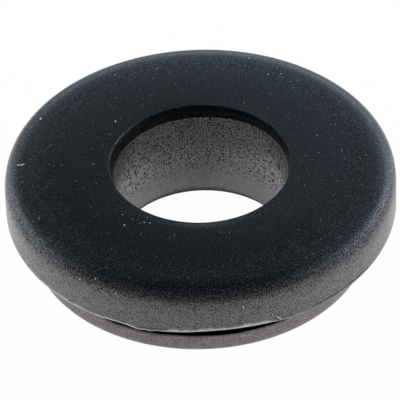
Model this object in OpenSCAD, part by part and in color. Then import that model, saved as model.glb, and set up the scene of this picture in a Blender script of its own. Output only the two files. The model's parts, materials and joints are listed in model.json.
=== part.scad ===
// Rubber grommet: one moulded ring that lines a round hole in a panel.
// A thick, softly rounded flange lies on the face of the panel, a groove takes the
// panel's edge, and a smaller flange with a rounded nose snaps through to the back.
// It is drawn as it lies on a bench, on the smaller flange: the origin is the centre
// of its underside, and +Z runs along the bore towards the thick flange.

/* [Bore] */
// Diameter of the straight bore that the cable runs through
bore_d = 10; // [6:0.5:13]
// Rounding of the bore's upper mouth, measured outwards from the bore wall
upper_mouth_reach = 0.35; // [0.1:0.05:0.8]
// Rounding of the bore's upper mouth, measured down the bore
upper_mouth_drop = 0.75; // [0.2:0.05:1.5]
// Radius of the bore's lower mouth
lower_mouth_r = 0.1; // [0.1:0.05:0.6]

/* [Panel groove] */
// Diameter at the floor of the groove, the size of the panel hole
groove_d = 16; // [14:0.25:18.5]
// Width of the groove, the thickness of the panel
groove_w = 1.5; // [0.8:0.1:4]
// Radius of the fillets in the groove's two inner corners
groove_fillet_r = 0.25; // [0.05:0.05:0.35]

/* [Upper flange] */
// Diameter of the thick upper flange
upper_flange_d = 22.5; // [20.5:0.5:30]
// Thickness of the upper flange, from the groove to the highest circle of the crown
upper_flange_t = 3.05; // [2.5:0.05:6]
// Rounding of the outer shoulder, measured inwards from the flange's side
shoulder_reach = 1.65; // [0.5:0.05:2.5]
// Rounding of the outer shoulder, measured down the flange's side
shoulder_drop = 1.6; // [0.5:0.05:2]
// Squareness of the shoulder: 2 is an ellipse, and more is a tighter corner
shoulder_power = 3.3; // [2:0.1:5]
// Diameter of the highest circle of the gently crowned top
crown_ridge_d = 13.5; // [13:0.5:18]
// Radius of the crown, seen in section
crown_r = 70; // [12:1:80]
// Radius on the upper flange's edge at the mouth of the groove
upper_lip_r = 0.15; // [0.05:0.05:0.3]

/* [Lower flange] */
// Diameter of the lower flange, which is pushed through the panel hole
lower_flange_d = 19.8; // [19:0.1:21]
// Thickness of the lower flange
lower_flange_t = 1.85; // [1.5:0.05:4]
// Rounding of the lower flange's nose, measured inwards from its side
nose_reach = 2.2; // [0.5:0.1:3]
// Rounding of the lower flange's nose, measured up its side
nose_drop = 1.2; // [0.4:0.1:1.2]
// Radius on the lower flange's edge at the mouth of the groove
lower_lip_r = 0.15; // [0.05:0.05:0.25]

/* [Hidden] */

// straight steps in each quarter of rounding, in a small lip or fillet, and over the crown
rounding_steps = 12;
lip_steps = 4;
crown_steps = 16;
// facets of the preview around the axis
$fn = 180;

bore_r = bore_d / 2;
groove_r = groove_d / 2;
upper_flange_r = upper_flange_d / 2;
lower_flange_r = lower_flange_d / 2;
crown_ridge_r = crown_ridge_d / 2;

// heights above the underside
groove_floor_z = lower_flange_t;
groove_roof_z = groove_floor_z + groove_w;
total_h = groove_roof_z + upper_flange_t;

// Height of the crowned top at a radius
function crown_z(r) = total_h - pow(r - crown_ridge_r, 2) / (2 * crown_r);

// A power that keeps the sign of what it is given
function signed_pow(v, p) = sign(v) * pow(abs(v), p);

// Points of an arc about a centre, from one angle to another. Its two half-axes may
// differ, and a power above 2 squares it up.
function arc(centre, half, from, to, steps, power = 2) = [
    for (i = [0 : steps])
        let (a = from + (to - from) * i / steps)
            centre + [
                half[0] * signed_pow(cos(a), 2 / power),
                half[1] * signed_pow(sin(a), 2 / power)
            ]
];

// Points set down from their own level onto the crown, which falls away from its ridge
function on_crown(points) = [for (p = points) [p[0], p[1] + crown_z(p[0]) - total_h]];

// Lower mouth of the bore, from the bore wall down to the underside
function lower_mouth() = arc(
    [bore_r + lower_mouth_r, lower_mouth_r],
    [lower_mouth_r, lower_mouth_r],
    180, 270, lip_steps
);

// Rounded nose of the lower flange, from the underside up to its side
function nose() = arc(
    [lower_flange_r - nose_reach, nose_drop],
    [nose_reach, nose_drop],
    270, 360, rounding_steps
);

// Edge of the lower flange at the mouth of the groove
function lower_lip() = arc(
    [lower_flange_r - lower_lip_r, groove_floor_z - lower_lip_r],
    [lower_lip_r, lower_lip_r],
    0, 90, lip_steps
);

// Inner end of the groove: a fillet, the wall that the panel hole closes on, a fillet
function groove_end() = concat(
    arc(
        [groove_r + groove_fillet_r, groove_floor_z + groove_fillet_r],
        [groove_fillet_r, groove_fillet_r],
        270, 180, lip_steps
    ),
    arc(
        [groove_r + groove_fillet_r, groove_roof_z - groove_fillet_r],
        [groove_fillet_r, groove_fillet_r],
        180, 90, lip_steps
    )
);

// Edge of the upper flange at the mouth of the groove
function upper_lip() = arc(
    [upper_flange_r - upper_lip_r, groove_roof_z + upper_lip_r],
    [upper_lip_r, upper_lip_r],
    270, 360, lip_steps
);

// Outer shoulder of the upper flange, from its side to the top
function shoulder() = on_crown(arc(
    [upper_flange_r - shoulder_reach, total_h - shoulder_drop],
    [shoulder_reach, shoulder_drop],
    0, 90, rounding_steps, shoulder_power
));

// Crowned top, from the shoulder in to the bore's mouth
function crown() = let (
    outer = upper_flange_r - shoulder_reach,
    inner = bore_r + upper_mouth_reach
) [
    for (i = [1 : crown_steps - 1])
        let (r = outer + (inner - outer) * i / crown_steps) [r, crown_z(r)]
];

// Upper mouth of the bore, from the top down to the bore wall
function upper_mouth() = on_crown(arc(
    [bore_r + upper_mouth_reach, total_h - upper_mouth_drop],
    [upper_mouth_reach, upper_mouth_drop],
    90, 180, rounding_steps
));

// Half section of the ring, from the bore wall round by the underside, the groove and
// the top
module section() {
    polygon(concat(
        lower_mouth(), nose(), lower_lip(), groove_end(),
        upper_lip(), shoulder(), crown(), upper_mouth()
    ));
}

module grommet() {
    color("#2b3036")
        rotate_extrude()
            section();
}

grommet();
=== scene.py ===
"""Looks of a moulded rubber grommet: the rubber ring itself, the dust and lint on it, and a plain
studio stage. It is laid out as a Blender add-on and run as a script. Lengths are in metres, +Z
runs up the bore, and azimuth 0 faces the camera, along -Y, and grows towards +X."""

import json
import math

import bmesh
import bpy
import numpy as np
from mathutils import Matrix, Vector


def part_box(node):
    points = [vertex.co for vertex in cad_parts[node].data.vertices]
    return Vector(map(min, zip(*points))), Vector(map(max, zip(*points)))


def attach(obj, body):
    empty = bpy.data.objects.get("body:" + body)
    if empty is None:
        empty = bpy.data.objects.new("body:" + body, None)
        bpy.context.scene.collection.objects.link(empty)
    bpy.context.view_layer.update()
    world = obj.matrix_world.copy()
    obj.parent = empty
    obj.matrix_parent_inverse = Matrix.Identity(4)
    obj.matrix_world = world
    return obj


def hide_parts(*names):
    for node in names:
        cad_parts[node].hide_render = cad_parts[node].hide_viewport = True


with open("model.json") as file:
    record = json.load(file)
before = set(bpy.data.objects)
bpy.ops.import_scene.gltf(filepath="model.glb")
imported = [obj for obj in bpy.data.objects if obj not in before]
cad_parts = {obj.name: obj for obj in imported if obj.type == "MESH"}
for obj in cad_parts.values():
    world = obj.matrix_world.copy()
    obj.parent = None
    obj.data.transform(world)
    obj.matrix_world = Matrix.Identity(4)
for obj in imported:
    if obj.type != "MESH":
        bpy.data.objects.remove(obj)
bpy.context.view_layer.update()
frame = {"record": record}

bl_info = {
    "name": "Rubber Grommet",
    "version": (1, 0, 0),
    "blender": (4, 5, 0),
    "location": "3D View > Sidebar > Grommet",
    "description": "Makes a moulded rubber grommet with its dust, and a studio stage around it",
    "category": "Object",
}

MM = 0.001
NODE = "grommet"
BODY = "root"

# how far a mote of dust stands up from the rubber, so that the dusty ring is as high as the CAD one
DUST_RISE = 0.02 * MM

RING_LOW, RING_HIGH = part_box(NODE)
MOUNTS = {mount["name"]: mount for mount in frame["record"]["mounts"]}


# ---------------------------------------------------------------------------------------------
# Small tools
# ---------------------------------------------------------------------------------------------

def hex_to_linear(text):
    """An sRGB colour written as six hex digits, as linear red, green and blue."""
    shares = [int(text[i:i + 2], 16) / 255 for i in (0, 2, 4)]
    return [c / 12.92 if c <= 0.04045 else ((c + 0.055) / 1.055) ** 2.4 for c in shares]


def add_node(tree, kind, settings=None, inputs=None):
    """Adds one shader node. Settings are its attributes. Inputs are its sockets, each given as a
    value, or as another node or one of its outputs to link from. A node stands for its first
    output."""
    node = tree.nodes.new(kind)
    for name, value in (settings or {}).items():
        setattr(node, name, value)
    for name, value in (inputs or {}).items():
        if isinstance(value, bpy.types.Node):
            value = value.outputs[0]
        if isinstance(value, bpy.types.NodeSocket):
            tree.links.new(value, node.inputs[name])
        else:
            node.inputs[name].default_value = value
    return node


# Settings that many nodes share: a range that begins and ends smoothly, a mix of two numbers, a
# product and a sum
SMOOTH = {"interpolation_type": "SMOOTHSTEP"}
NUMBERS = {"data_type": "FLOAT"}
TIMES = {"operation": "MULTIPLY"}
PLUS = {"operation": "ADD"}


def new_material(name):
    """An empty node material and its tree."""
    material = bpy.data.materials.new(name)
    material.use_nodes = True
    material.node_tree.nodes.clear()
    return material, material.node_tree


def new_object(name, points, faces, material, smooth=True):
    """A mesh object in the scene, from points in metres and faces as lists of point numbers."""
    mesh = bpy.data.meshes.new(name)
    mesh.from_pydata(points, [], faces)
    mesh.polygons.foreach_set("use_smooth", [smooth] * len(mesh.polygons))
    mesh.materials.append(material)
    mesh.update()
    obj = bpy.data.objects.new(name, mesh)
    bpy.context.scene.collection.objects.link(obj)
    return obj


# ---------------------------------------------------------------------------------------------
# Settings
# ---------------------------------------------------------------------------------------------

def length(name, about, default, low=0.0):
    """A length property, in metres."""
    return bpy.props.FloatProperty(
        name=name, description=about, default=default, unit="LENGTH", min=low, precision=6
    )


def share(name, about, default):
    """A plain number property."""
    return bpy.props.FloatProperty(name=name, description=about, default=default, min=0)


def degrees(name, about, default):
    """An angle property, given in degrees and kept in radians."""
    return bpy.props.FloatProperty(
        name=name, description=about, default=math.radians(default), unit="ROTATION"
    )


def colour(name, about, default):
    """A colour property, given as sRGB hex and kept linear."""
    return bpy.props.FloatVectorProperty(
        name=name, description=about, default=hex_to_linear(default), subtype="COLOR", min=0, max=1
    )


class GrommetSection(bpy.types.PropertyGroup):
    """Sizes of the ring's section."""

    outer_r: length("Outer radius", "Radius of the upper flange", (RING_HIGH.x - RING_LOW.x) / 2)
    height: length("Height", "Height over both flanges", RING_HIGH.z - RING_LOW.z - DUST_RISE)
    bore_r: length("Bore radius", "Radius of the bore", MOUNTS["cable_bore"]["dims"]["r_mm"] * MM)
    groove_r: length("Groove radius", "Radius at the groove's floor", 8 * MM)
    lower_r: length("Lower flange radius", "Radius of the lower flange", 9.88 * MM)
    lower_t: length("Lower flange thickness", "Thickness of the lower flange", 1.85 * MM)
    groove_w: length("Groove width", "Width of the groove", 1.5 * MM)
    mouth_reach: length("Mouth reach", "Rounding of the upper mouth, outwards", 0.35 * MM)
    mouth_drop: length("Mouth drop", "Rounding of the upper mouth, downwards", 0.75 * MM)
    mouth_power: share("Mouth power", "Fullness of the mouth; 1 is a flat chamfer", 1.3)
    lower_mouth_r: length("Lower mouth radius", "Radius of the bore's lower mouth", 0.1 * MM)
    shoulder_reach: length("Shoulder reach", "Rounding of the shoulder, inwards", 1.65 * MM)
    shoulder_drop: length("Shoulder drop", "Rounding of the shoulder, downwards", 1.6 * MM)
    shoulder_power: share("Shoulder power", "Squareness of the shoulder; 2 is an ellipse", 3.3)
    ridge_r: length("Crown ridge radius", "Radius of the highest circle", 6.75 * MM)
    crown_r: length("Crown radius", "Radius of the crown, in section", 70 * MM)
    nose_reach: length("Nose reach", "Rounding of the lower flange, inwards", 2.2 * MM)
    nose_drop: length("Nose drop", "Rounding of the lower flange, upwards", 1.2 * MM)
    lip_r: length("Lip radius", "Radius on the upper flange's lower edge", 0.15 * MM)
    lower_lip_r: length("Lower lip radius", "Radius on the lower flange's upper edge", 0.06 * MM)
    fillet_r: length("Fillet radius", "Radius in the groove's inner corners", 0.25 * MM)


class GrommetWear(bpy.types.PropertyGroup):
    """What moulding, handling and lying about have done to the ring."""

    sway: length("Sway", "How far the outline wanders in and out", 0.02 * MM)
    core_shift: length("Core shift", "How far left the lower flange lies", 0.085 * MM)
    pin_shift: length("Pin shift", "How far right and forward the bore lies", 0.05 * MM)
    mouth_tight: share("Tight mouth", "How much of the mouth's rounding is missing", 0.25)
    mouth_uneven: share("Uneven mouth", "How much more is missing at the back on the right", 0.3)
    mouth_nip: share("Mouth nip", "How much more is missing at the back on the left", 0.15)
    mouth_lift: length("Mouth lift", "How much higher the wall reaches, back right", 0.18 * MM)
    motes: bpy.props.IntProperty(
        name="Motes", description="Number of fine motes on the top", default=130, min=0
    )


class GrommetColours(bpy.types.PropertyGroup):
    """Colours of the rubber and of what lies on it."""

    rubber: colour("Rubber", "Carbon-filled rubber", "08090A")
    # this grey is the bloom's, and it also paints the light on the sides, the bore and the lower flange
    bloom_and_painted_light: colour("Bloom", "Dry grey bloom on the sides", "B0A7A7")
    stained: colour("Stained bloom", "Bloom on the lower flange, browned by hands", "ADA39D")
    torn: colour("Torn edge", "Flash that was trimmed and has paled", "CBC7C3")
    side_gloss: colour("Gloss of the sides", "Tint of the gloss where the bloom is full", "E9FAFF")
    # the top's bluer tint is a painted reflection of the bluer light from above
    top_gloss_painted_tint: colour("Gloss of the top", "Tint of the gloss on the bare top", "B5E9FF")
    dust: colour("Dust", "Dust and lint", "F4F4F0")
    dust_shade: colour("Dust in patches", "Greyer dust", "C8C8C4")
    floor: colour("Floor", "White card floor", "F4F4F4")


class GrommetStage(bpy.types.PropertyGroup):
    """Camera and light."""

    aim_height: length("Aim height", "Height of the point that the camera aims at", 3.51 * MM)
    aim_right: length("Aim right", "How far right of the axis the camera aims", -0.059 * MM, -MM)
    distance: length("Distance", "From the camera to that point", 226.87 * MM)
    elevation: degrees("Elevation", "Camera's height above the horizon", 40.25)
    roll: degrees("Roll", "Camera's turn about its own axis", 1.81)
    lens: share("Lens", "Focal length in millimetres, on a 36 mm sensor", 354.0)
    card_front: length("Card front", "How far the floor card reaches in front of the axis", 40 * MM)
    room: share("Room", "Strength of the light from the dark room", 0.053)
    fill: share("Fill", "Even light from overhead, as a share of plain full light", 0.6)
    scrim: degrees("Scrim", "How wide the overhead light is", 170)


# ---------------------------------------------------------------------------------------------
# The ring's section
# ---------------------------------------------------------------------------------------------

def signed_pow(value, power):
    return np.sign(value) * np.abs(value) ** power


def arc(centre, half, start, end, steps, power=2.0):
    """Points of an arc from one angle to another, in degrees. Its half-axes may differ, and a
    power above 2 squares it up."""
    a = np.radians(np.linspace(start, end, steps + 1))
    return np.stack([
        centre[0] + half[0] * signed_pow(np.cos(a), 2 / power),
        centre[1] + half[1] * signed_pow(np.sin(a), 2 / power),
    ], axis=1)


def straight(start, end, steps):
    """Points along a line, without its two ends."""
    t = np.linspace(0, 1, steps + 1)[1:-1, None]
    return np.array(start) * (1 - t) + np.array(end) * t


def crown_fall(s, r):
    """How far the crowned top lies under its ridge, at a radius."""
    return (r - s.ridge_r) ** 2 / (2 * s.crown_r)


def on_crown(s, points):
    """Points set down from the ridge's level onto the crown."""
    return np.stack([points[:, 0], points[:, 1] - crown_fall(s, points[:, 0])], axis=1)


# Short steps along the section beside an edge, so that smooth shading doesn't round it off
EDGE_STEPS = (0.015 * MM, 0.02 * MM, 0.05 * MM, 0.09 * MM)


def ring_section(s):
    """Closed outline of the ring's section, as named stretches of (radius, height) points. It runs
    from the bore's lower mouth out under the lower flange, through the groove and back over the
    top."""
    roof = s.lower_t + s.groove_w
    lower_mouth = arc(
        (s.bore_r + s.lower_mouth_r, s.lower_mouth_r), (s.lower_mouth_r,) * 2, 180, 270, steps=4
    )
    nose = arc((s.lower_r - s.nose_reach, s.nose_drop), (s.nose_reach, s.nose_drop), 270, 360, steps=16)
    lower_lip = arc(
        (s.lower_r - s.lower_lip_r, s.lower_t - s.lower_lip_r), (s.lower_lip_r,) * 2, 0, 90, steps=4
    )
    fillet_r = s.groove_r + s.fillet_r
    floor_fillet = arc((fillet_r, s.lower_t + s.fillet_r), (s.fillet_r,) * 2, 270, 180, steps=3)
    roof_fillet = arc((fillet_r, roof - s.fillet_r), (s.fillet_r,) * 2, 180, 90, steps=3)
    upper_lip = arc((s.outer_r - s.lip_r, roof + s.lip_r), (s.lip_r,) * 2, 270, 360, steps=8)
    shoulder = on_crown(s, arc(
        (s.outer_r - s.shoulder_reach, s.height - s.shoulder_drop),
        (s.shoulder_reach, s.shoulder_drop), 0, 90, steps=28, power=s.shoulder_power,
    ))
    mouth = on_crown(s, arc(
        (s.bore_r + s.mouth_reach, s.height - s.mouth_drop),
        (s.mouth_reach, s.mouth_drop), 90, 180, steps=12, power=s.mouth_power,
    ))
    crown_end = (s.bore_r + s.mouth_reach + EDGE_STEPS[0], s.height)
    crown = on_crown(s, np.concatenate([
        straight((s.outer_r - s.shoulder_reach, s.height), crown_end, steps=22), [crown_end],
    ]))
    wall_top = mouth[-1] - [(0, step) for step in EDGE_STEPS[1:]]
    wall = np.concatenate([wall_top, straight(wall_top[-1], lower_mouth[0], steps=16)])
    return {
        "lower_mouth": lower_mouth,
        "underside": straight(lower_mouth[-1], nose[0], steps=4),
        "nose": np.concatenate([nose, straight(nose[-1], lower_lip[0], steps=4), lower_lip]),
        "groove": np.concatenate([
            lower_lip[-1:] - (EDGE_STEPS[1], 0), straight(lower_lip[-1], floor_fillet[0], steps=4),
            floor_fillet, straight(floor_fillet[-1], roof_fillet[0], steps=2), roof_fillet,
            straight(roof_fillet[-1], upper_lip[0], steps=6),
        ]),
        "lip": upper_lip,
        "side": np.concatenate([straight(upper_lip[-1], shoulder[0], steps=8), shoulder]),
        "crown": crown,
        "mouth": mouth,
        "wall": wall,
    }


def ripple(azimuths, seed, slowest, fastest):
    """A closed random wave round the ring, from -1 to 1, made of waves that repeat a whole number
    of times each turn."""
    draw = np.random.default_rng(seed)
    counts = np.arange(slowest, fastest + 1)
    phases = draw.uniform(0, 2 * math.pi, len(counts))
    heights = draw.normal(size=len(counts)) / np.sqrt(counts)
    wave = (heights[:, None] * np.cos(counts[:, None] * azimuths + phases[:, None])).sum(0)
    return wave / np.abs(wave).max()


# What trimming the flash has left along the groove, by azimuth in degrees. In millimetres: how far
# the upper flange's edge hangs, how far the lower flange's edge stands up, and how high the torn
# strip reaches. Last comes how high over the edge the crease's painted shade is, or 0 where there is
# none.
FLASH_LEFT = (
    (-150, 0.05, 0.00, 0.03, 0), (-75, 0.10, 0.06, 0.10, 0), (-50, 0.13, 0.12, 0.28, 0),
    (-43, 0.13, 0.12, 0.28, 0), (-38, 0.13, 0.12, 0.22, 0), (-36, 0.13, 0.12, 0.18, 0),
    (-34.6, 0.13, -0.04, 0.16, 0), (-31.5, 0.13, -0.10, 0.18, 0), (-30.2, 0.12, -0.11, 0.20, 0),
    (-29.3, 0.09, -0.107, 0.20, 0), (-26.1, 0.07, -0.085, 0.20, 0),
    (-22.9, 0.11, -0.10, 0.20, 0), (-21.8, 0.17, -0.13, 0.20, 0), (-19.6, 0.23, -0.13, 0.14, 0),
    (-19.2, 0.235, -0.13, 0.12, 0.24), (-16.4, 0.21, -0.13, 0.12, 0.25),
    (-14, 0.135, -0.10, 0.12, 0.22), (-12.5, 0.11, -0.07, 0.14, 0.18),
    (-11.5, 0.10, -0.06, 0.2, 0), (-10, 0.09, -0.05, 0.26, 0), (-5, 0.04, -0.04, 0.26, 0),
)
FLASH_RIGHT = (
    (0, -0.04, -0.04, 0.26, 0), (4, -0.10, -0.06, 0.28, 0), (10, -0.09, -0.08, 0.30, 0),
    (15, -0.05, -0.04, 0.30, 0), (20, 0.02, -0.03, 0.22, 0), (23, 0.08, -0.03, 0.14, 0.2),
    (26, 0.08, -0.02, 0.16, 0.2), (27.5, 0.08, 0.0, 0.12, 0), (30, 0.13, 0.12, 0.00, 0),
    (33, 0.13, 0.12, 0.00, 0.2), (36, 0.12, 0.12, 0.00, 0.27), (50, 0.12, 0.12, 0.00, 0.28),
    (57, 0.12, 0.12, 0.00, 0.24), (75, 0.10, 0.06, 0.00, 0), (150, 0.05, 0.00, 0.03, 0),
)
# The columns of these tables
HANGS, STANDS, TORN, CREASE_SHADE = 1, 2, 3, 4
# How far a fringe of flash reaches into the edge that carries it, and how ragged it is
FRINGE_HEIGHT = 0.2 * MM
STANDING_WIDTH = 0.2 * MM
STANDING_HEIGHT = 0.15 * MM
RAGGED = 0.15
# How far in from the side the hanging fringe is lowest, and how far it reaches to both sides of
# that, as shares of the lip's radius
FRINGE_PLACE = 0.6
FRINGE_WIDTH = 1.2


def flash(azimuths, column):
    """One column of the two tables, at each azimuth."""
    table = np.array(FLASH_LEFT + FLASH_RIGHT)
    return np.interp(np.degrees(azimuths), table[:, 0], table[:, column], period=360)


def near(value, target, width):
    """1 at a target and falling smoothly to 0 at a width from it."""
    t = np.clip(1 - np.abs(value - target) / width, 0, 1)
    return t * t * (3 - 2 * t)


def upward(points):
    """How far each point of a closed outline faces up, from -1 to 1."""
    along = np.roll(points, -1, axis=0) - np.roll(points, 1, axis=0)
    return -along[:, 0] / np.hypot(along[:, 0], along[:, 1])


# How far the top stands up round the bore's mouth: azimuths in degrees from the front, and then
# millimetres. The left front mirrors the right one, and the last value holds on from the back to it.
MOUTH_RISE = ((0, 45, 90, 135, 180), (-0.03, -0.004, 0.004, 0.014, -0.004))
# How wide the ring of rubber is that rises or sinks round the mouth, and how far out over the top
# the tight mouth still pulls the rubber in
RISE_WIDTH = 0.55 * MM
PULL_WIDTH = 1 * MM
# The share of the mouth's drop over which the wall passes into the top
WALL_TO_TOP = 0.6
# The azimuths where the mouth is most uneven, and how far to each side of them that reaches
BACK_RIGHT = math.radians(120)
LIFT_SPREAD = math.radians(70)
BACK_LEFT = math.radians(208)
NIP_SPREAD = math.radians(35)


def ring_points(s, wear, azimuths):
    """Points of the whole ring, as an array of azimuth by section point by coordinate."""
    section = np.concatenate(list(ring_section(s).values()))
    r = np.repeat(section[None, :, 0], len(azimuths), axis=0)
    z = np.repeat(section[None, :, 1], len(azimuths), axis=0)
    roof = s.lower_t + s.groove_w
    outwards = np.clip((r - s.groove_r) / (s.lower_r - s.groove_r), 0, 1)
    # the lower flange and the bore sit a little off centre, because the mould's halves did
    lower_share = outwards * np.clip((roof - z) / s.groove_w, 0, 1)
    bore_share = np.clip(1.0 - (r - s.bore_r) / (s.groove_r - s.bore_r), 0, 1)
    # flash: thin ragged fringes on the two edges at the groove's mouth
    lowest, width = s.outer_r - FRINGE_PLACE * s.lip_r, FRINGE_WIDTH * s.lip_r
    hanging = near(r, lowest, width) * near(z, roof, FRINGE_HEIGHT)
    standing = near(r, s.lower_r, STANDING_WIDTH) * near(z, s.lower_t, STANDING_HEIGHT)
    ragged = 1 + RAGGED * ripple(azimuths, seed=6, slowest=40, fastest=120)
    z = z - hanging * (flash(azimuths, HANGS) * MM * ragged)[:, None]
    z = z + standing * (flash(azimuths, STANDS) * MM * ragged)[:, None]
    # the whole outline wanders a little
    wander = ripple(azimuths, seed=3, slowest=2, fastest=7) - 1
    r = r + outwards * wander[:, None] * wear.sway / 2
    # the bore's mouth came out tighter and shallower, most so at the back on the right, and the top
    # sinks towards it in front and stands up a little round it behind
    mouth_r = s.bore_r + s.mouth_reach
    on_top = np.clip((z - s.height + s.mouth_drop) / (WALL_TO_TOP * s.mouth_drop), 0, 1)
    back_right = np.clip(np.cos(azimuths - BACK_RIGHT), 0, 1)[:, None]
    rise = np.interp(np.abs(np.degrees(azimuths)), *MOUTH_RISE)[:, None] * MM
    z = z + on_top * near(np.maximum(r, mouth_r), mouth_r, RISE_WIDTH) * rise
    shallow = near(z, s.height - s.mouth_drop, s.mouth_drop) * (r < mouth_r)
    z = z + wear.mouth_lift * near(azimuths, BACK_RIGHT, LIFT_SPREAD)[:, None] * shallow
    nipped = near(azimuths % math.tau, BACK_LEFT, NIP_SPREAD)[:, None]
    tight = wear.mouth_tight + wear.mouth_uneven * back_right
    tight = tight + wear.mouth_nip * nipped
    pull = np.clip(1 - (r - mouth_r) / PULL_WIDTH, 0, 1) * on_top * tight
    r = r - (r - s.bore_r) * pull
    return np.stack([
        r * np.sin(azimuths)[:, None] - lower_share * wear.core_shift + bore_share * wear.pin_shift,
        -r * np.cos(azimuths)[:, None] - bore_share * wear.pin_shift,
        z,
    ], axis=2)


# Dry bloom and painted light, as a share of full cover. On the upper flange it is fullest on the lip
# and at the foot of the side, and thins out over the shoulder, here by height in millimetres and as a
# share
# of that. Much of it is painted light: the sides and the lower flange, which face the low light, are
# painted lighter than the top.
SIDE_FULL = 0.256
SIDE_HEIGHTS = (4.4, 4.75, 5.13, 5.41, 5.55, 5.72, 5.85, 6.0, 6.15)
SIDE_BLOOM_AND_PAINTED_LIGHT = (1.0, 0.88, 0.74, 0.46, 0.34, 0.32, 0.2, 0.1, 0.02)
NOSE_BLOOM_AND_PAINTED_LIGHT = 0.56
UNDERSIDE_BLOOM_AND_PAINTED_LIGHT = 0.58
# Bloom and painted light on the bore's wall, by height in millimetres, how much more of it is on the
# wall's left and right, by height too, and how much more on the right and less on the left. The wall is
# painted lighter towards its foot, where light comes up the bore from the floor, and lighter at its
# left and right and on the right.
WALL_HEIGHTS = (0, 2, 4, 5.6)
WALL_BLOOM_AND_PAINTED_LIGHT = (0.95, 0.5, 0.19, 0.1)
WALL_SIDE_HEIGHTS = (2.5, 4.5)
WALL_SIDE_PAINTED_LIGHT = (2.6, 0.2)
WALL_RIGHT_PAINTED_LIGHT = 0.3
# How much more bloom the outside has, as shares of its own: on its left and right, on the left over
# the right, and at the front on the right, which holds for the back on the right too. This is painted
# light, where more light falls on the ring.
SIDE_PAINTED_LIGHT = 0.58
LEFT_PAINTED_LIGHT = 0.15
RIGHT_FRONT_PAINTED_LIGHT = 0.42
# How much more it has on the shoulder's turn, at the left and right, and on the right over the left,
# as a painted highlight. The height and the half width of that turn are in millimetres.
TURN_PAINTED_HIGHLIGHT = 1.2
TURN_RIGHT_PAINTED_HIGHLIGHT = 0.5
TURN = (5.93, 0.2)
# The ragged burr under the back of the bore's mouth: its bloom, its height and half width in
# millimetres, how far it reaches to each side, and how little of it is broken off
BURR_BLOOM = 0.9
BURR = (5.575, 0.05)
BURR_SPREAD = math.radians(60)
BURR_UNBROKEN = 0.3


def ring_bloom_and_painted_light(part, z, azimuths):
    """Share of dry bloom and painted light at each azimuth and section point. The points are given by
    the stretch that they belong to and their height in millimetres."""
    wall = part == "wall"
    lean = np.sin(azimuths)[:, None]
    bloom_and_painted_light = np.select(
        [part == "side", part == "lip", part == "nose", part == "underside", wall],
        [
            SIDE_FULL * np.interp(z, SIDE_HEIGHTS, SIDE_BLOOM_AND_PAINTED_LIGHT), SIDE_FULL, NOSE_BLOOM_AND_PAINTED_LIGHT,
            UNDERSIDE_BLOOM_AND_PAINTED_LIGHT, np.interp(z, WALL_HEIGHTS, WALL_BLOOM_AND_PAINTED_LIGHT),
        ],
        0.0,
    )
    right = lean * wall
    wall_sides = right ** 2 * np.interp(z, WALL_SIDE_HEIGHTS, WALL_SIDE_PAINTED_LIGHT)
    bloom_and_painted_light = bloom_and_painted_light * (1 + wall_sides) * (1 + WALL_RIGHT_PAINTED_LIGHT * right)
    right_front = RIGHT_FRONT_PAINTED_LIGHT * np.clip(lean, 0, 1) * (1 - lean ** 2)
    outside = np.isin(part, ("side", "lip"))
    bloom_and_painted_light = bloom_and_painted_light * np.where(outside, 1 + SIDE_PAINTED_LIGHT * lean ** 2 - LEFT_PAINTED_LIGHT * lean + right_front, 1)
    bloom_and_painted_light = bloom_and_painted_light * (1 + (TURN_PAINTED_HIGHLIGHT + TURN_RIGHT_PAINTED_HIGHLIGHT * lean) * lean ** 2 * near(z, *TURN))
    ragged = np.clip(ripple(azimuths, seed=8, slowest=50, fastest=150) + BURR_UNBROKEN, 0, 1)
    burr = near(np.abs(azimuths), math.pi, BURR_SPREAD) * ragged
    return bloom_and_painted_light + BURR_BLOOM * burr[:, None] * wall * near(z, *BURR)


# Gloss, as a share of the rubber's own. The top is a little duller all over, and polished towards one
# azimuth. That fades away between two radii in millimetres.
TOP_RADII = (8.2, 9.6)
GLOSSIEST = math.radians(130)
GLOSS_SWING = 0.26
TOP_LOSS = 0.11
# The shoulder's upper turn is duller at the left and right. Its height and half width are in
# millimetres.
UPPER_TURN = (6.17, 0.16)
UPPER_TURN_LOSS = 0.28
GROOVE_GLOSS = 0.3
MOUTH_GLOSS = 0.5
MOUTH_SIDE_GLOSS = 0.45


def ring_sheen(part, r, z, azimuths):
    """Share of gloss at each azimuth and section point. The points are given by the stretch that they
    belong to and by their radius and height in millimetres."""
    lean = np.sin(azimuths)[:, None]
    swing = GLOSS_SWING * np.cos(azimuths - GLOSSIEST)[:, None]
    polish = 1 + np.interp(r, TOP_RADII, (1, 0)) * (swing - TOP_LOSS)
    polish = polish * (1 - UPPER_TURN_LOSS * lean ** 2 * near(z, *UPPER_TURN))
    return np.select(
        [part == "groove", part == "mouth", np.isin(part, ("side", "crown"))],
        [GROOVE_GLOSS, MOUTH_GLOSS + MOUTH_SIDE_GLOSS * lean ** 2, polish],
        1.0,
    )


# How much the grain breaks up the bloom on the outside, and how deep the grain is there, by how far
# the rubber faces up
GRIT_FACING = (0, 0.3)
GRIT = (0.4, 1)
RELIEF_FACING = (0, 0.3, 0.85, 0.99)
RELIEF = (0.4, 1, 0.8, 0.15)
# The same on the nose, on the bore's wall, and wherever no other value holds
NOSE_GRIT, OTHER_GRIT = 0.25, 0.2
NOSE_RELIEF, WALL_RELIEF, OTHER_RELIEF = 0.3, 1, 0.15
# How far up the outside has to face for its bloom to begin to draw back, and to have drawn back
DRAWN_BACK_FACING = (0.4, 0.95)
# The heights in millimetres between which the bore's wall goes from even to broken bloom, the shares
# below and above them, and how much lower they are at the left and right
WALL_GRIT_HEIGHTS = (1.2, 2.6)
WALL_GRIT = (0.2, 1)
WALL_GRIT_DROP = 0.8
# A height over the edge that stands for everywhere else, in millimetres
FAR_FROM_EDGE = 10.0


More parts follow.
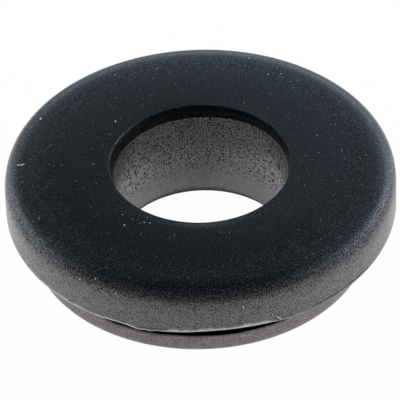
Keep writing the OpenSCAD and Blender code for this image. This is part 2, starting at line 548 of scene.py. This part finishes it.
def ring_marks(s, azimuths, points):
    """What the rubber's material needs to know at each point of the ring, as arrays of azimuth by
    section point. All are shares from 0 up, but for the last three.

    bloom_and_painted_light: the dry bloom's cover, much of which is painted light
    drawn_back: how far the bloom has drawn back to the grain's highest peaks
    grit: how much the grain breaks the bloom up
    coarse: how coarse the grain is
    relief: how deep the grain is
    sheen: how glossy the rubber is
    stained: how much handling has browned the bloom
    over_edge: the height over the upper flange's lower edge, in millimetres
    torn: how high the torn strip along that edge reaches over it, in millimetres
    crease_shade: how high over the edge the crease's painted shade is, in millimetres, or 0 where there
    is none"""
    parts = ring_section(s)
    section = np.concatenate(list(parts.values()))
    part = np.repeat(list(parts), [len(stretch) for stretch in parts.values()])
    r, z = section.T / MM
    up = np.clip(upward(section), 0, 1)
    outside = np.isin(part, ("side", "crown"))
    wall = part == "wall"
    wall_sides = (np.sin(azimuths)[:, None] * wall) ** 2
    grit = np.select(
        [outside, part == "nose"], [np.interp(up, GRIT_FACING, GRIT), NOSE_GRIT], OTHER_GRIT
    )
    wall_grit = np.interp(z + WALL_GRIT_DROP * wall_sides, WALL_GRIT_HEIGHTS, WALL_GRIT)
    relief = np.select(
        [outside, part == "nose", wall],
        [np.interp(up, RELIEF_FACING, RELIEF), NOSE_RELIEF, WALL_RELIEF],
        OTHER_RELIEF,
    )
    heights = points[:, :, 2] / MM
    edge = heights[:, part == "lip"].min(axis=1)[:, None]
    along_edge = np.isin(part, ("lip", "side", "crown"))
    marks = {
        "bloom_and_painted_light": ring_bloom_and_painted_light(part, z, azimuths),
        "drawn_back": np.where(outside, np.interp(up, DRAWN_BACK_FACING, (0, 1)), 0),
        "grit": np.where(wall, wall_grit, grit),
        "coarse": wall_sides,
        "relief": relief,
        "sheen": ring_sheen(part, r, z, azimuths),
        "stained": np.where(np.isin(part, ("nose", "underside", "groove")), 1.0, 0.0),
        "over_edge": np.where(along_edge, heights - edge, FAR_FROM_EDGE),
        "torn": flash(azimuths, TORN)[:, None],
        "crease_shade": flash(azimuths, CREASE_SHADE)[:, None],
    }
    return {name: np.broadcast_to(values, heights.shape) for name, values in marks.items()}


def grid_faces(around, along):
    """Faces of a grid that closes on itself both ways."""
    i = np.arange(around)[:, None]
    j = np.arange(along)[None, :]
    i2, j2 = (i + 1) % around, (j + 1) % along
    corners = [i * along + j, i2 * along + j, i2 * along + j2, i * along + j2]
    return np.stack(np.broadcast_arrays(*corners), axis=2).reshape(-1, 4).tolist()


# ---------------------------------------------------------------------------------------------
# Dust and fibres
# ---------------------------------------------------------------------------------------------

# The largest motes: azimuth in degrees, then radius on the top or height on the side, and width,
# in millimetres
MOTES_ON_TOP = (
    (-129, 6.2, 0.115), (-116, 10.2, 0.12), (-91, 6.1, 0.08), (-39, 6.9, 0.10), (-45, 6.3, 0.07),
    (-64, 10.2, 0.07), (-150, 9.6, 0.07), (153, 5.9, 0.07), (152, 8.9, 0.085), (148, 9.3, 0.06),
    (162, 10.0, 0.09), (107, 7.1, 0.065), (-32, 6.1, 0.075), (-29, 6.0, 0.075), (66, 8.2, 0.05),
    (-91.9, 10.42, 0.08),
)
MOTES_ON_SIDE = (
    (-33, 5.85, 0.09), (-38, 5.5, 0.10), (-26, 5.45, 0.09), (49, 3.95, 0.12), (30, 1.35, 0.09),
    (11, 5.0, 0.11), (13, 1.55, 0.13), (20.7, 1.8, 0.12), (19.7, 3.95, 0.10), (11.2, 4.85, 0.07),
)
# The fine dust: smallest and largest width, and the part of the top that it lies on, in millimetres
FINE_WIDTHS = (0.025, 0.05)
FINE_RADII = (5.5, 10.6)
# How much longer than wide a mote may be, how uneven its corners are, and its half height. With the
# tallest corner it still stays under the rise of the dust.
MOTE_STRETCH = (0.8, 1.25)
MOTE_CORNERS = (0.8, 1.1)
MOTE_HALF_HEIGHT = 0.9 * DUST_RISE

# Two short hairs, as width in millimetres and then points of azimuth, radius or height, and how far
# each point stands off the rubber in millimetres
LINT = (0.045, (
    (-92.2, 10.47, 0.0), (-91.9, 10.40, 0.03), (-91.6, 10.30, 0.01), (-91.8, 10.18, 0.0),
    (-92.1, 10.05, 0.0),
))
TORN_HAIR = (0.055, (
    (20.4, 3.93, 0.02), (21.0, 3.80, 0.10), (21.6, 3.66, 0.08), (22.1, 3.50, 0.02),
))


# How far over the ring, and how far out from its axis, the rays start that look for its surface
RAY_OVER = 10 * MM
RAY_OUT = 20 * MM


def top_of(ring, azimuth, radius):
    """Place and normal on the ring's top, at an azimuth in degrees and a radius in metres."""
    a = math.radians(azimuth)
    above = Vector((radius * math.sin(a), -radius * math.cos(a), RAY_OVER))
    return ring.ray_cast(above, Vector((0, 0, -1)))[1:3]


def side_of(ring, azimuth, height):
    """Place and normal on the ring's side, at an azimuth in degrees and a height in metres."""
    a = math.radians(azimuth)
    outwards = Vector((math.sin(a), -math.cos(a), 0))
    return ring.ray_cast(outwards * RAY_OUT + Vector((0, 0, height)), -outwards)[1:3]


def mote(draw, place, normal, width):
    """Points and faces of one crumb of dust, half sunk in the rubber: an uneven flattened lump."""
    lump = bmesh.new()
    bmesh.ops.create_icosphere(lump, subdivisions=1, radius=1)
    spin = Matrix.Rotation(draw.uniform(0, math.tau), 3, "Z")
    turn = normal.to_track_quat("Z", "Y").to_matrix() @ spin
    stretch = draw.uniform(*MOTE_STRETCH)
    points = []
    for vertex in lump.verts:
        x, y, z = vertex.co * draw.uniform(*MOTE_CORNERS)
        flat = Vector((x * width / 2 * stretch, y * width / 2 / stretch, z * MOTE_HALF_HEIGHT))
        points.append(place + turn @ flat)
    faces = [[vertex.index for vertex in face.verts] for face in lump.faces]
    lump.free()
    return points, faces


def hair(points, width):
    """Points and faces of a thin round hair along a row of points."""
    sides = 6
    end = len(points) - 1
    around = []
    for i, point in enumerate(points):
        along = (points[min(i + 1, end)] - points[max(i - 1, 0)]).normalized()
        across = along.orthogonal().normalized()
        # both ends are drawn to half the width
        thick = width / 2 * (0.5 if i in (0, end) else 1.0)
        for k in range(sides):
            turn = Matrix.Rotation(math.tau * k / sides, 3, along)
            around.append(point + turn @ across * thick)
    faces = [list(range(sides))[::-1], [end * sides + k for k in range(sides)]]
    for i in range(end):
        this, following = i * sides, (i + 1) * sides
        for k in range(sides):
            beside = (k + 1) % sides
            faces.append([this + k, this + beside, following + beside, following + k])
    return around, faces


def gather(name, shapes, material):
    """One object made of several shapes, each given as points and faces."""
    points, faces = [], []
    for more_points, more_faces in shapes:
        faces += [[index + len(points) for index in face] for face in more_faces]
        points += more_points
    return new_object(name, points, faces, material)


# ---------------------------------------------------------------------------------------------
# Materials
# ---------------------------------------------------------------------------------------------

# The mould's grain is taken to be 0.03 to 0.06 mm across. That is too fine to show, so it is drawn
# this coarse, and coarser still on the bore's sides, where it is seen aslant.
GRAIN_SIZE = 0.075 * MM
BORE_GRAIN_SIZE = 0.16 * MM
GRAIN_DEPTH = 0.01 * MM
# Size of the patches in which the bloom is thicker and thinner
PATCH_SIZE = 0.6 * MM
# What the grain makes of bloom and gloss, from one height of the grain to another. Its heights go from
# 0 to 1.
THICK_BLOOM = {"From Min": 0.40, "From Max": 0.54, "To Min": 0.05, "To Max": 1.5}
THIN_BLOOM = {"From Min": 0.50, "From Max": 0.66, "To Min": 0.4, "To Max": 3.0}
STRAY_BLOOM = {"From Min": 0.64, "From Max": 0.72, "To Min": 0.0, "To Max": 0.10}
SIDE_GLOSS = {"From Min": 0.42, "From Max": 0.54, "To Min": 0.1, "To Max": 0.9}
TOP_GLOSS = {"From Min": 0.50, "From Max": 0.66, "To Min": 0.27, "To Max": 0.87}
# What the patches make of the bloom and of the torn strip's height, and how the strip fades out, by
# share of its height
BLOOM_PATCHES = {"From Min": 0.3, "From Max": 0.7, "To Min": 0.85, "To Max": 1.15}
STRIP_PATCHES = {"From Min": 0.3, "From Max": 0.7, "To Min": 0.7, "To Max": 1.3}
STRIP_FADE = {"From Min": 0.4, "From Max": 1.15, "To Min": 1.0, "To Max": 0.0}
# Where there is no strip its height is this, in millimetres
NO_STRIP = 0.001
# How dark the crease's painted shade is, by how far a point is from its middle and by its height over
# the edge, in millimetres
CREASE_ACROSS = {"From Min": 0.03, "From Max": 0.065, "To Min": 1.0, "To Max": 0.0}
CREASE_COMES_IN = {"From Min": 0.05, "From Max": 0.22}
# The marks that the ring's points carry, as ring_marks gives them
RUBBER_MARKS = (
    "bloom_and_painted_light", "drawn_back", "grit", "coarse", "relief", "sheen", "stained", "over_edge", "torn",
    "crease_shade",
)


def moulded_rubber(colours):
    """Carbon-filled nitrile rubber, pressed in a spark-eroded steel mould. The mould leaves a fine
    even grain. A dry grey bloom sits on the grain's peaks: where it is thin it shows as light
    specks on black, and where it is thick as black specks on grey. Much of its grey is painted
    light: the sides, the lower flange and the foot of the bore are painted lighter where the
    light falls on them. The top's gloss is tinted bluer than that of the sides, which is a
    painted reflection of the bluer light from above, and most of the gloss comes from the peaks.
    Trimming has left a pale torn strip along the upper flange's lower edge, with a thin dark
    line of painted shade over it in the crease."""
    material, tree = new_material("pressed_nitrile_rubber")
    place = add_node(tree, "ShaderNodeTexCoord").outputs["Object"]
    marks = {
        name: add_node(tree, "ShaderNodeAttribute", {"attribute_name": name}).outputs["Fac"]
        for name in RUBBER_MARKS
    }
    fine, coarse, patches = (
        add_node(tree, "ShaderNodeTexNoise", {}, {
            "Vector": place, "Scale": 1 / size, "Detail": detail,
        })
        for size, detail in ((GRAIN_SIZE, 1.0), (BORE_GRAIN_SIZE, 1.0), (PATCH_SIZE, 3.0))
    )
    grain = add_node(tree, "ShaderNodeMix", NUMBERS, {0: marks["coarse"], 2: fine, 3: coarse})
    drawn_back = marks["drawn_back"]
    rubber = (*colours.rubber, 1)

    # bloom and painted light, in grey over the black
    thick = add_node(tree, "ShaderNodeMapRange", SMOOTH, {"Value": grain, **THICK_BLOOM})
    thin = add_node(tree, "ShaderNodeMapRange", SMOOTH, {"Value": grain, **THIN_BLOOM})
    specks = add_node(tree, "ShaderNodeMix", NUMBERS, {0: drawn_back, 2: thick, 3: thin})
    clouds = add_node(tree, "ShaderNodeMapRange", SMOOTH, {"Value": patches, **BLOOM_PATCHES})
    broken = add_node(tree, "ShaderNodeMix", NUMBERS, {0: marks["grit"], 2: clouds, 3: specks})
    cover = add_node(tree, "ShaderNodeMath", TIMES, {0: marks["bloom_and_painted_light"], 1: broken})
    highest = add_node(tree, "ShaderNodeMapRange", SMOOTH, {"Value": fine, **STRAY_BLOOM})
    stray = add_node(tree, "ShaderNodeMath", TIMES, {0: highest, 1: drawn_back})
    bloom_and_painted_light_cover = add_node(tree, "ShaderNodeMath", PLUS, {0: cover, 1: stray})
    grey = add_node(tree, "ShaderNodeMixRGB", {}, {
        "Fac": marks["stained"], "Color1": (*colours.bloom_and_painted_light, 1), "Color2": (*colours.stained, 1),
    })
    bloom_and_painted_light_colour = add_node(tree, "ShaderNodeMixRGB", {}, {"Fac": bloom_and_painted_light_cover, "Color1": rubber, "Color2": grey})

    # the torn strip
    uneven = add_node(tree, "ShaderNodeMapRange", SMOOTH, {"Value": patches, **STRIP_PATCHES})
    reach = add_node(tree, "ShaderNodeMath", TIMES, {0: marks["torn"], 1: uneven})
    height = add_node(tree, "ShaderNodeMath", PLUS, {0: reach, 1: NO_STRIP})
    up_strip = add_node(tree, "ShaderNodeMath", {"operation": "DIVIDE"}, {
        0: marks["over_edge"], 1: height,
    })
    pale = add_node(tree, "ShaderNodeMapRange", SMOOTH, {"Value": up_strip, **STRIP_FADE})
    torn = add_node(tree, "ShaderNodeMixRGB", {}, {
        "Fac": pale, "Color1": bloom_and_painted_light_colour, "Color2": (*colours.torn, 1),
    })

    # painted shade in the crease over it
    over_crease = add_node(tree, "ShaderNodeMath", {"operation": "SUBTRACT"}, {
        0: marks["over_edge"], 1: marks["crease_shade"],
    })
    off_crease = add_node(tree, "ShaderNodeMath", {"operation": "ABSOLUTE"}, {0: over_crease})
    dark = add_node(tree, "ShaderNodeMapRange", SMOOTH, {"Value": off_crease, **CREASE_ACROSS})
    depth = add_node(tree, "ShaderNodeMapRange", SMOOTH, {
        "Value": marks["crease_shade"], **CREASE_COMES_IN,
    })
    line = add_node(tree, "ShaderNodeMath", TIMES, {0: dark, 1: depth})
    crease_shaded = add_node(tree, "ShaderNodeMixRGB", {}, {"Fac": line, "Color1": torn, "Color2": rubber})

    # gloss, which is strongest on the grain's peaks
    side_peaks = add_node(tree, "ShaderNodeMapRange", SMOOTH, {"Value": grain, **SIDE_GLOSS})
    top_peaks = add_node(tree, "ShaderNodeMapRange", SMOOTH, {"Value": grain, **TOP_GLOSS})
    peaks = add_node(tree, "ShaderNodeMix", NUMBERS, {0: drawn_back, 2: side_peaks, 3: top_peaks})
    gloss = add_node(tree, "ShaderNodeMath", TIMES, {0: peaks, 1: marks["sheen"]})
    # the top's bluer tint is a painted reflection of the bluer light from above
    tint = add_node(tree, "ShaderNodeMixRGB", {}, {
        "Fac": drawn_back, "Color1": (*colours.side_gloss, 1), "Color2": (*colours.top_gloss_painted_tint, 1),
    })
    relief = add_node(tree, "ShaderNodeMath", TIMES, {0: grain, 1: marks["relief"]})
    grained = add_node(tree, "ShaderNodeBump", {}, {
        "Height": relief, "Distance": GRAIN_DEPTH, "Strength": 1.0,
    })
    shader = add_node(tree, "ShaderNodeBsdfPrincipled", {}, {
        "Base Color": crease_shaded, "Roughness": 0.28, "IOR": 1.5, "Normal": grained,
        "Specular Tint": tint, "Specular IOR Level": gloss,
    })
    add_node(tree, "ShaderNodeOutputMaterial", {}, {"Surface": shader})
    return material


# Size of the patches in which the dust is paler and greyer, the noise over which it goes from one to
# the other, and the size of its crumbs, with their depth
DUST_PATCH_SIZE = 0.3 * MM
DUST_PATCHES = {"From Min": 0.3, "From Max": 0.7}
CRUMB_SIZE = 0.02 * MM
CRUMB_DEPTH = 0.005 * MM


def settled_dust(colours):
    """House dust and lint: pale dry fibre and grit. It is quite matt, and no two crumbs are the
    same grey."""
    material, tree = new_material("settled_house_dust")
    place = add_node(tree, "ShaderNodeTexCoord").outputs["Object"]
    patches, crumbs = (
        add_node(tree, "ShaderNodeTexNoise", {}, {"Vector": place, "Scale": 1 / size})
        for size in (DUST_PATCH_SIZE, CRUMB_SIZE)
    )
    patchy = add_node(tree, "ShaderNodeMapRange", SMOOTH, {"Value": patches, **DUST_PATCHES})
    grey = add_node(tree, "ShaderNodeMixRGB", {}, {
        "Fac": patchy, "Color1": (*colours.dust_shade, 1), "Color2": (*colours.dust, 1),
    })
    crumbly = add_node(tree, "ShaderNodeBump", {}, {
        "Height": crumbs, "Distance": CRUMB_DEPTH, "Strength": 1.0,
    })
    shader = add_node(tree, "ShaderNodeBsdfPrincipled", {}, {
        "Base Color": grey, "Roughness": 0.9, "IOR": 1.5, "Normal": crumbly,
    })
    add_node(tree, "ShaderNodeOutputMaterial", {}, {"Surface": shader})
    return material


# How much of the lit card is replaced by plain white, for the camera and in mirrored light. At this
# share the camera sees next to nothing of the shadow, and a lower one brings it out.
WHITE_TO_CAMERA = 0.98
WHITE_IN_GLOSS = 0.5


def white_card(colours):
    """Matt white card. It shows as white to the camera and half so in reflections. For the light
    that it throws back up it is plain lit card."""
    material, tree = new_material("matt_white_card")
    card = add_node(tree, "ShaderNodeBsdfDiffuse", {}, {"Color": (*colours.floor, 1)})
    glow = add_node(tree, "ShaderNodeEmission", {}, {"Strength": 1.0})
    path = add_node(tree, "ShaderNodeLightPath").outputs
    mirrored = add_node(tree, "ShaderNodeMath", {"operation": "MAXIMUM"}, {
        0: path["Is Glossy Ray"], 1: path["Is Transmission Ray"],
    })
    in_gloss = add_node(tree, "ShaderNodeMath", TIMES, {0: mirrored, 1: WHITE_IN_GLOSS})
    to_camera = add_node(tree, "ShaderNodeMath", TIMES, {
        0: path["Is Camera Ray"], 1: WHITE_TO_CAMERA,
    })
    white = add_node(tree, "ShaderNodeMath", {"operation": "MAXIMUM"}, {0: to_camera, 1: in_gloss})
    both = add_node(tree, "ShaderNodeMixShader", {}, {0: white, 1: card, 2: glow})
    add_node(tree, "ShaderNodeOutputMaterial", {}, {"Surface": both})
    return material


# Soft panels: azimuth and elevation of the middle in degrees, with azimuth 0 along +X and 90 at the
# back, then half width and half height in degrees, strength, and tint
PANELS = (
    (76, 19, 84, 20, 2.45, (0.94, 1.0, 1.08)),
    (24, 24, 66, 56, 1.78, (1.04, 1.0, 1.06)),
    (152, 16, 50, 58, 1.95, (1.04, 1.0, 1.06)),
    (64, 57, 28, 16, 0.42, (0.75, 1.0, 1.18)),
    (127, 58, 30, 15, 0.48, (0.75, 1.0, 1.18)),
)
# Tint of what light the dark room gives
ROOM_TINT = (0.36, 0.65, 1.05)


def panel_light(tree, direction, azimuth, elevation, half_width, half_height, strength):
    """Light from one panel that is brightest in its middle and fades to nothing at its edges."""
    turned = add_node(tree, "ShaderNodeVectorRotate", {"rotation_type": "Z_AXIS"}, {
        "Vector": direction, "Angle": -math.radians(azimuth),
    })
    parts = add_node(tree, "ShaderNodeSeparateXYZ", {}, {"Vector": turned}).outputs
    bearing = add_node(tree, "ShaderNodeMath", {"operation": "ARCTAN2"}, {
        0: parts["Y"], 1: parts["X"],
    })
    aside = add_node(tree, "ShaderNodeMath", {"operation": "ABSOLUTE"}, {0: bearing})
    rise = add_node(tree, "ShaderNodeMath", {"operation": "ARCSINE"}, {0: parts["Z"]})
    over = add_node(tree, "ShaderNodeMath", {"operation": "SUBTRACT"}, {
        0: rise, 1: math.radians(elevation),
    })
    above = add_node(tree, "ShaderNodeMath", {"operation": "ABSOLUTE"}, {0: over})
    across = add_node(tree, "ShaderNodeMapRange", SMOOTH, {
        "Value": aside, "From Max": math.radians(half_width), "To Min": 1.0, "To Max": 0.0,
    })
    upright = add_node(tree, "ShaderNodeMapRange", SMOOTH, {
        "Value": above, "From Max": math.radians(half_height), "To Min": strength, "To Max": 0.0,
    })
    return add_node(tree, "ShaderNodeMath", TIMES, {0: across, 1: upright})


# ---------------------------------------------------------------------------------------------
# Operators
# ---------------------------------------------------------------------------------------------

class GROMMET_OT_ring(bpy.types.Operator):
    """Make the moulded rubber ring"""

    bl_idname = "grommet.ring"
    bl_label = "Rubber ring"

    # rows of points round the front, which is seen closest, and round the rest, and the azimuth in
    # degrees where they meet
    FRONT = 460
    REST = 200
    FRONT_HALF = 65

    def execute(self, context):
        scene = context.scene
        s = scene.grommet_section
        azimuths = np.radians(np.concatenate([
            np.linspace(-self.FRONT_HALF, self.FRONT_HALF, self.FRONT, endpoint=False),
            np.linspace(self.FRONT_HALF, 360 - self.FRONT_HALF, self.REST, endpoint=False),
        ]))
        points = ring_points(s, scene.grommet_wear, azimuths)
        ring = new_object(
            "rubber_ring", points.reshape(-1, 3).tolist(),
            grid_faces(*points.shape[:2]), moulded_rubber(scene.grommet_colours),
        )
        for name, values in ring_marks(s, azimuths, points).items():
            layer = ring.data.attributes.new(name, "FLOAT", "POINT")
            layer.data.foreach_set("value", values.ravel())
        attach(ring, BODY)
        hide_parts(NODE)
        return {"FINISHED"}


class GROMMET_OT_dust(bpy.types.Operator):
    """Scatter dust and two short hairs over the ring"""

    bl_idname = "grommet.dust"
    bl_label = "Dust and lint"

    def execute(self, context):
        ring = bpy.data.objects.get("rubber_ring")
        if ring is None:
            raise RuntimeError("the dust needs the ring that it lies on")
        context.view_layer.update()
        draw = np.random.default_rng(11)
        shapes = []
        for surface, motes in ((top_of, MOTES_ON_TOP), (side_of, MOTES_ON_SIDE)):
            for azimuth, where, width in motes:
                shapes.append(mote(draw, *surface(ring, azimuth, where * MM), width * MM))
        for _ in range(context.scene.grommet_wear.motes):
            azimuth = draw.uniform(-180, 180)
            radius = math.sqrt(draw.uniform(FINE_RADII[0] ** 2, FINE_RADII[1] ** 2))
            width = draw.uniform(*FINE_WIDTHS)
            shapes.append(mote(draw, *top_of(ring, azimuth, radius * MM), width * MM))
        material = settled_dust(context.scene.grommet_colours)
        dust = gather("dust_motes", shapes, material)
        hairs = gather("short_hairs", [
            self.hair_on(ring, top_of, *LINT), self.hair_on(ring, side_of, *TORN_HAIR),
        ], material)
        for piece in (dust, hairs):
            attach(piece, BODY)
        return {"FINISHED"}

    def hair_on(self, ring, surface, width, stations):
        """A hair that follows a surface of the ring."""
        points = []
        for azimuth, where, off in stations:
            place, normal = surface(ring, azimuth, where * MM)
            points.append(place + normal * (off + width / 3) * MM)
        return hair(points, width * MM)


class GROMMET_OT_stage(bpy.types.Operator):
    """Make the floor, the light and the camera"""

    bl_idname = "grommet.stage"
    bl_label = "Stage"

    # half the card's width, and how far the card lies under the ring
    CARD_HALF = 1.0
    CARD_GAP = 0.01 * MM

    def execute(self, context):
        scene = context.scene
        settings = scene.grommet_stage
        self.floor(scene.grommet_colours, settings)
        self.world(scene, settings)
        self.fill(scene, settings)
        self.camera(scene, settings)
        scene.view_settings.view_transform = "Standard"
        return {"FINISHED"}

    def floor(self, colours, settings):
        """A flat card a hair under the ring, so that the two faces don't lie in one plane. It ends
        a little way in front of the ring."""
        half, front, low = self.CARD_HALF, -settings.card_front, -self.CARD_GAP
        floor = new_object(
            "floor_card",
            [(-half, front, low), (half, front, low), (half, half, low), (-half, half, low)],
            [(0, 1, 2, 3)], white_card(colours), smooth=False,
        )

    def world(self, scene, settings):
        """Cool soft panels behind the ring and to both sides, in a dark room. The camera sees
        white."""
        world = bpy.data.worlds.new("soft_panels_in_a_dark_room")
        world.use_nodes = True
        tree = world.node_tree
        tree.nodes.clear()
        direction = add_node(tree, "ShaderNodeTexCoord").outputs["Generated"]
        room = add_node(tree, "ShaderNodeBackground", {}, {
            "Color": (*ROOM_TINT, 1), "Strength": settings.room,
        })
        for *place, tint in PANELS:
            panel = add_node(tree, "ShaderNodeBackground", {}, {
                "Color": (*tint, 1), "Strength": panel_light(tree, direction, *place),
            })
            room = add_node(tree, "ShaderNodeAddShader", {}, {0: room, 1: panel})
        white = add_node(tree, "ShaderNodeBackground", {}, {"Color": (1, 1, 1, 1), "Strength": 1.0})
        seen = add_node(tree, "ShaderNodeLightPath").outputs["Is Camera Ray"]
        both = add_node(tree, "ShaderNodeMixShader", {}, {0: seen, 1: room, 2: white})
        add_node(tree, "ShaderNodeOutputWorld", {}, {"Surface": both})
        scene.world = world

    def fill(self, scene, settings):
        """Even light from a wide scrim overhead. It isn't mirrored in the rubber."""
        data = bpy.data.lights.new("overhead_scrim", "SUN")
        # a sun of strength pi shows a colour as it is written
        data.energy = settings.fill * math.pi
        data.angle = settings.scrim
        scrim = bpy.data.objects.new("overhead_scrim", data)
        scrim.visible_glossy = False
        scene.collection.objects.link(scrim)

    def camera(self, scene, settings):
        """A long lens that looks down at the ring."""
        data = bpy.data.cameras.new("camera")
        data.sensor_width = 36
        data.lens = settings.lens
        data.clip_start = settings.distance / 10
        data.clip_end = settings.distance * 20
        camera = bpy.data.objects.new("camera", data)
        scene.collection.objects.link(camera)
        away = Vector((0, -math.cos(settings.elevation), math.sin(settings.elevation)))
        aim = Vector((settings.aim_right, 0, settings.aim_height))
        turn = (-away).to_track_quat("-Z", "Y").to_matrix().to_4x4()
        camera.matrix_world = (
            Matrix.Translation(aim + away * settings.distance) @ turn
            @ Matrix.Rotation(-settings.roll, 4, "Z")
        )
        scene.camera = camera


class GROMMET_PT_panel(bpy.types.Panel):
    """Lists the makers and their settings"""

    bl_idname = "GROMMET_PT_panel"
    bl_label = "Rubber Grommet"
    bl_space_type = "VIEW_3D"
    bl_region_type = "UI"
    bl_category = "Grommet"

    def draw(self, context):
        for operator in OPERATORS:
            self.layout.operator(operator.bl_idname)
        for name, group in SETTINGS.items():
            box = self.layout.box()
            for key in group.__annotations__:
                box.prop(getattr(context.scene, name), key)


SETTINGS = {
    "grommet_section": GrommetSection,
    "grommet_wear": GrommetWear,
    "grommet_colours": GrommetColours,
    "grommet_stage": GrommetStage,
}
OPERATORS = (GROMMET_OT_ring, GROMMET_OT_dust, GROMMET_OT_stage)
CLASSES = (*SETTINGS.values(), *OPERATORS, GROMMET_PT_panel)


def register():
    for cls in CLASSES:
        bpy.utils.register_class(cls)
    for name, group in SETTINGS.items():
        setattr(bpy.types.Scene, name, bpy.props.PointerProperty(type=group))


def unregister():
    for name in SETTINGS:
        delattr(bpy.types.Scene, name)
    for cls in reversed(CLASSES):
        bpy.utils.unregister_class(cls)


def main():
    """Makes everything in order."""
    register()
    bpy.ops.grommet.ring()
    bpy.ops.grommet.dust()
    bpy.ops.grommet.stage()


if __name__ == "__main__":
    main()
